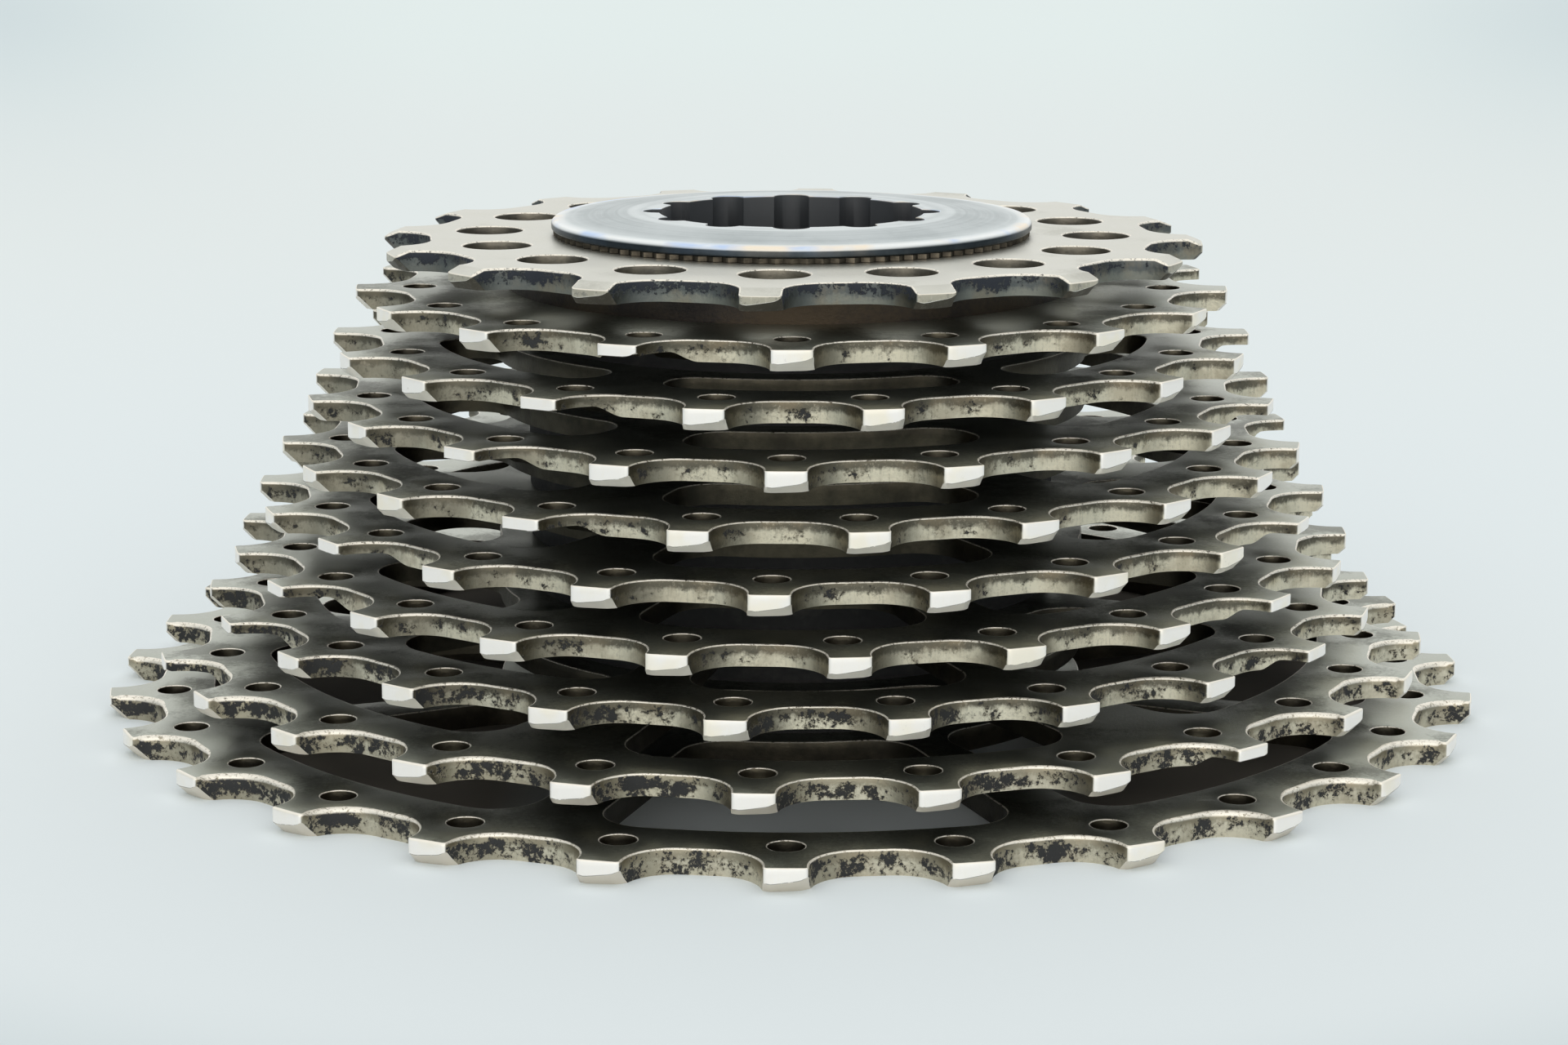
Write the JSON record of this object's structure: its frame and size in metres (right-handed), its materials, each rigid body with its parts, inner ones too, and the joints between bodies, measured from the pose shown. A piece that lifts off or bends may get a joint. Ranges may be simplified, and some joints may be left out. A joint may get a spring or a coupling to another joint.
{
  "type": "bicycle cassette",
  "caption": "Road bicycle cassette: a cone of splined, windowed sprocket plates on spacer rings, closed by a screw-in lockring that clamps it on a freehub body.",
  "frame": {"origin": "on the axis, on the back face of the largest sprocket", "axes": "+Z along the axis towards the lockring, -Y towards the tooth of the largest sprocket that faces the viewer, X to the right"},
  "size_m": [0.1094, 0.1092, 0.0391],
  "materials": {
    "sprocket_steel": "nickel-plated steel, oily and grimy on the faces, worn bright at the tooth tips",
    "first_sprocket_nickel": "satin nickel-plated steel with grime in the tooth valleys",
    "spacer_plastic": "matte black moulded plastic",
    "rivet_steel": "plain steel",
    "washer_steel": "brown-grey steel with a serrated edge",
    "lockring_zinc": "turned steel with a bright bluish zinc plating"
  },
  "bodies": {
    "stack": {"sprocket_27": "sprocket_steel", "sprocket_25": "sprocket_steel", "sprocket_23": "sprocket_steel", "sprocket_22": "sprocket_steel", "sprocket_21": "sprocket_steel", "sprocket_20": "sprocket_steel", "sprocket_19": "sprocket_steel", "sprocket_18": "sprocket_steel", "sprocket_17": "sprocket_steel", "sprocket_16": "first_sprocket_nickel", "spacer_27_25": "spacer_plastic", "spacer_25_23": "spacer_plastic", "spacer_23_22": "spacer_plastic", "spacer_22_21": "spacer_plastic", "spacer_21_20": "spacer_plastic", "spacer_20_19": "spacer_plastic", "spacer_19_18": "spacer_plastic", "spacer_18_17": "spacer_plastic", "unit_rivets": "rivet_steel"},
    "lock_washer": {"lock_washer": "washer_steel"},
    "lockring": {"lockring": "lockring_zinc"}
  },
  "joints": [
    {"name": "lockring_lift", "type": "slide", "parent": "stack", "child": "lock_washer", "axis": [0, 0, 1], "range_m": [0, 0.0045]},
    {"name": "lockring_turn", "type": "hinge", "parent": "lock_washer", "child": "lockring", "pos_m": [0, 0, 0.03785], "axis": [0, 0, 1], "range_deg": [0, 1620]}
  ],
  "couplings": [
    {"joint": "lockring_turn", "follows": "lockring_lift", "rad_per_m": 6283.2}
  ]
}
